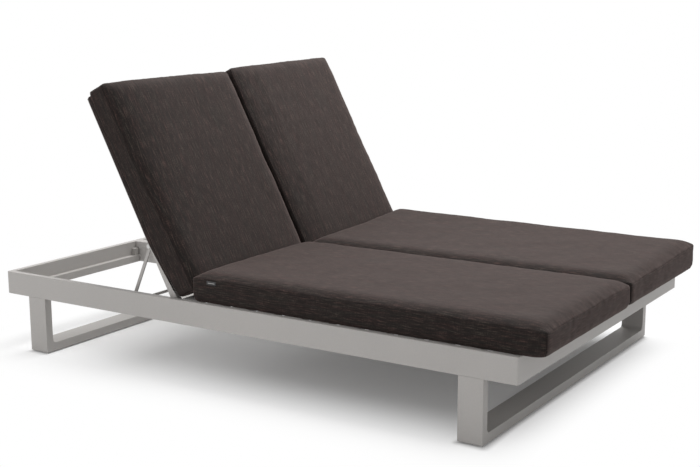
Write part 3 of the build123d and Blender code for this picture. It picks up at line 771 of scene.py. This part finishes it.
for seed, side in enumerate(sides, start=1 + len(sides)):
    low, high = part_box(f"{side}_back_cushion")
    width = high.x - low.x
    length = back_end - back_start
    back = make_cushion(f"{side}_back_pad", width, length, back_height, seed)
    for vertex in back.data.vertices:
        point = vertex.co
        from_foot = point.y + length / 2
        outer = nearness(width / 2 - point.x * outward[side], outer_edge_reach)
        raised = min(1, max(0, (from_foot - sag_start) / sag_length))
        point.z *= 1 - raised * outer_edge_sag[side] * outer * outer
        inner = nearness(width / 2 + point.x * outward[side], inner_edge_reach)
        point.z *= 1 + inner_edge_lift[side] * inner * inner
        point.x -= outward[side] * inner_spare[side] * inner
        toward_end = min(1, (2 * point.y / length) ** 2)
        point.x += outward[side] * outer_spare[side] * outer * toward_end
        if point.z > back_height:
            crown = nearness(width / 2 + point.x * outward[side], inner_crown_reach)
            point.z -= (point.z - back_height) * (1 - inner_crown_share[side]) * crown
        across = 0.5 + point.x * outward[side] / width
        along = from_foot / length
        underside = nearness(point.z, back_height)
        point.y += along * (head_spare[side] + head_outer_spare[side] * across)
        point.y += head_edge_spare[side] * along ** head_edge_power * underside
        point.y -= back_foot_spare * nearness(along, back_foot_share)
        foot = nearness(point.y + length / 2, back_lift_length)
        point.z = max(0, point.z + back_lift * foot * foot * underside)
    back.data.transform(Matrix.Translation((0, (back_start + back_end) / 2, back_rise)))
    middle_x = (low.x + high.x) / 2
    slats_low, slats_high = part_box(f"{side}_back_slats")
    add_hood(back, slats_low.x - middle_x, slats_high.x - middle_x)
    stand = Matrix.Translation((middle_x, hinge.y, hinge.z))
    back.data.transform(stand @ Matrix.Rotation(back_angle, 4, "X"))
    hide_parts(f"{side}_back_cushion")
    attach(back, f"{side}_back")

# Tag
# A small folded ribbon of plain dark satin with one pale thread, sewn under the top seam of the
# right-hand seat cushion near its rear end.
tag_width = 0.037
tag_height = 0.012
tag_place = Vector((-0.72, 0.1075, 0.3475))
tag_cuts = (12, 5)
tag_gap = 0.0014
tag_thickness = 0.0012
tag_fold = 0.0004
tag_fold_steps = 2
rib_pitch = 0.0005236
rib_wander = 0.4
rib_share = 0.02
thread_width = 0.0022
thread_length = 0.027
satin_tones = ((0, (0.008, 0.008, 0.009, 1)), (1, (0.36, 0.35, 0.34, 1)))
satin_roughness = 0.45
bpy.ops.object.select_all(action="DESELECT")
bpy.ops.mesh.primitive_grid_add(
    x_subdivisions=tag_cuts[0], y_subdivisions=tag_cuts[1], size=1, location=tag_place,
    rotation=(math.pi / 2, 0, -math.pi / 2),
)
tag = bpy.context.object
tag.name = "seat_tag"
tag.scale = (tag_width, tag_height, 1)
bpy.ops.object.transform_apply(location=True, rotation=True, scale=True)
onto = tag.modifiers.new("onto", "SHRINKWRAP")
onto.target = bpy.data.objects["right_seat_pad"]
onto.wrap_method = "PROJECT"
onto.use_project_x = True
onto.use_negative_direction = True
onto.use_positive_direction = True
onto.offset = tag_gap
ribbon = tag.modifiers.new("ribbon", "SOLIDIFY")
ribbon.thickness = tag_thickness
ribbon.offset = 0
fold = tag.modifiers.new("fold", "BEVEL")
fold.width = tag_fold
fold.segments = tag_fold_steps
for modifier in ("onto", "ribbon", "fold"):
    bpy.ops.object.modifier_apply(modifier=modifier)
bpy.ops.object.shade_smooth_by_angle(angle=smooth_angle)
satin = empty_material("satin_ribbon")
tree = satin.node_tree
place = add_node(tree, "ShaderNodeTexCoord").outputs["Object"]
parts = add_node(tree, "ShaderNodeSeparateXYZ", {0: place}).outputs
ribs = ridges(tree, place, "Z", rib_pitch, rib_wander, detail=2)
in_height = math_node(tree, "COMPARE", parts["Z"], tag_place.z, thread_width / 2)
in_length = math_node(tree, "COMPARE", parts["Y"], tag_place.y, thread_length / 2)
thread = math_node(tree, "MULTIPLY", in_height, in_length)
tone = math_node(tree, "ADD", math_node(tree, "MULTIPLY", ribs, rib_share), thread)
finish_surface(tree, {
    "Base Color": ramped(tree, tone, satin_tones),
    "Roughness": satin_roughness,
})
tag.data.materials.append(satin)
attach(tag, "frame")
